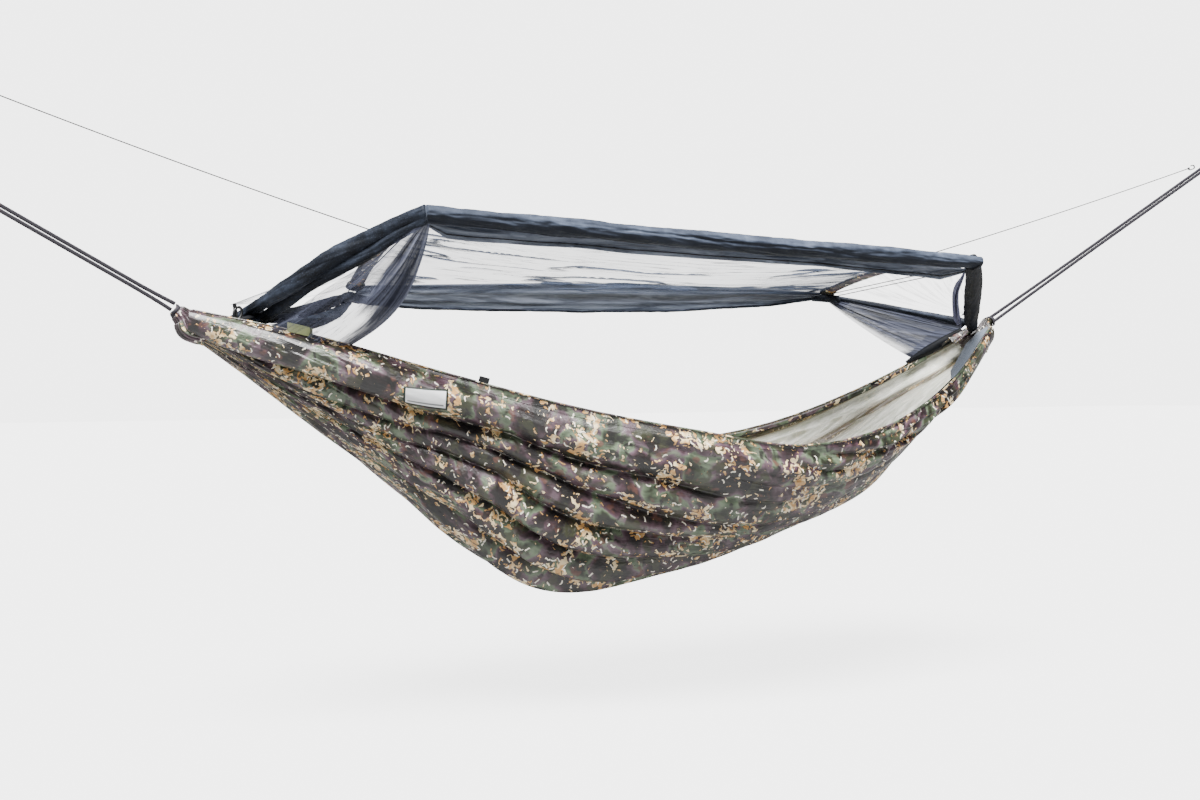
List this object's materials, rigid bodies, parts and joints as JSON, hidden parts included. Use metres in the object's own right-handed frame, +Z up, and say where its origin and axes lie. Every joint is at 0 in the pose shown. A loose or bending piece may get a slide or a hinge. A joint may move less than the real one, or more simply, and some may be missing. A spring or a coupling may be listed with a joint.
{
  "type": "camping hammock",
  "caption": "Gathered-end camping hammock with a double-layer camouflage bed, a mosquito net canopy on bowed spreader poles, and webbing straps to carabiners.",
  "frame": {"origin": "centre of the flat seat inside the left carabiner, which an anchor sling pulls on", "axes": "+X from the left anchor towards the right one along the hammock, +Y away from the rolled-up side of the net, +Z up"},
  "size_m": [3.6459, 0.7196, 1.2096],
  "materials": {
    "camo_cloth": "matt woven nylon, printed camouflage",
    "camo_inside": "matt woven nylon, pale reverse of the print",
    "netting": "fine navy mosquito netting",
    "webbing": "dark woven polyester webbing",
    "olive_webbing": "olive woven webbing",
    "zip": "black coil zip",
    "steel": "satin",
    "pole_alloy": "satin anodised",
    "plastic": "moulded black plastic",
    "elastic": "braided shock cord",
    "label": "woven label, blank"
  },
  "bodies": {
    "anchors": {"carabiner_left": "steel", "carabiner_right": "steel", "gate_pin_left": "steel", "gate_pin_right": "steel"},
    "bed": {"bed_outer_layer": "camo_cloth", "bed_inner_layer": "camo_inside", "gather_left": "camo_cloth", "gather_right": "camo_cloth", "zip_tape_near": "zip", "zip_tape_far": "zip", "edge_loop_near": "olive_webbing", "edge_tab_near": "webbing", "sewn_label": "label", "strap_left_upper": "webbing", "strap_left_lower": "webbing", "strap_right_upper": "webbing", "strap_right_lower": "webbing", "strap_loop_left": "webbing", "strap_loop_right": "webbing", "net_cord_left": "webbing", "net_cord_right": "webbing", "cord_hook_left": "steel", "cord_hook_right": "steel"},
    "canopy": {"cord_tab_left": "webbing", "cord_tab_right": "webbing", "net_band_far": "netting", "net_bundle_far_left": "netting", "net_bundle_far_right": "netting", "net_bundle_left": "netting", "net_drape_left": "netting", "net_end_left": "netting", "net_end_right": "netting", "net_hem_near": "netting", "net_roll_left": "netting", "net_roll_near": "netting", "net_roll_right": "netting", "net_top_panel": "netting", "pole_sleeve_left": "camo_cloth", "pole_sleeve_right": "camo_cloth"},
    "pole_left": {"pole_left_far_section": "pole_alloy", "pole_left_far_tip": "plastic", "pole_left_ferrule": "pole_alloy", "pole_left_near_section": "pole_alloy", "pole_left_near_tip": "plastic", "pole_left_shock_cord": "elastic"},
    "pole_right": {"pole_right_far_section": "pole_alloy", "pole_right_far_tip": "plastic", "pole_right_ferrule": "pole_alloy", "pole_right_near_section": "pole_alloy", "pole_right_near_tip": "plastic", "pole_right_shock_cord": "elastic"},
    "zip_near": {"zip_slider_near": "zip"},
    "zip_far": {"zip_slider_far": "zip"},
    "pull_near": {"zip_pull_near": "zip"},
    "pull_far": {"zip_pull_far": "zip"},
    "gate_left": {"gate_left": "steel"},
    "gate_right": {"gate_right": "steel"}
  },
  "joints": [
    {"name": "bed_swing", "type": "hinge", "parent": "anchors", "child": "bed", "pos_m": [0.05883, 0, -0.0341], "axis": [0.9972, 0, 0.075], "range_deg": [-15, 15]},
    {"name": "canopy_roll", "type": "hinge", "parent": "bed", "child": "canopy", "pos_m": [0.92986, 0.00723, -0.08391], "axis": [0.9997, -0.004, -0.0224], "range_deg": [-8, 8], "deforming": ["net_end_left", "net_end_right", "net_drape_left"]},
    {"name": "pole_left_slide", "type": "hinge", "parent": "canopy", "child": "pole_left", "pos_m": [0.94386, -0.22492, -1.48932], "axis": [-1, 0, 0], "range_deg": [0, 27]},
    {"name": "pole_right_slide", "type": "hinge", "parent": "canopy", "child": "pole_right", "pos_m": [2.36586, -0.09427, -2.12984], "axis": [-1, 0, 0], "range_deg": [0, 19]},
    {"name": "zip_near_slide", "type": "slide", "parent": "bed", "child": "zip_near", "axis": [0.9447, -0.258, -0.2023], "range_m": [-0.02, 0.03]},
    {"name": "zip_far_slide", "type": "slide", "parent": "bed", "child": "zip_far", "axis": [0.8153, -0.397, 0.4215], "range_m": [-0.03, 0.02]},
    {"name": "pull_near_turn", "type": "hinge", "parent": "zip_near", "child": "pull_near", "pos_m": [0.60197, -0.04383, -0.2983], "axis": [-0.1951, 0.0533, -0.9793], "range_deg": [0, 160]},
    {"name": "pull_far_turn", "type": "hinge", "parent": "zip_far", "child": "pull_far", "pos_m": [2.42103, 0.17156, -0.44174], "axis": [0.379, -0.1845, -0.9068], "range_deg": [0, 160]},
    {"name": "gate_left_open", "type": "hinge", "parent": "anchors", "child": "gate_left", "pos_m": [0.05005, 0, -0.00937], "axis": [0, -1, 0], "range_deg": [0, 25], "stiffness_Nm_per_rad": 0.12, "springref_deg": -2.86},
    {"name": "gate_right_open", "type": "hinge", "parent": "anchors", "child": "gate_right", "pos_m": [3.56986, 0, 0.25393], "axis": [0, 1, 0], "range_deg": [0, 25], "stiffness_Nm_per_rad": 0.12, "springref_deg": -2.86}
  ]
}
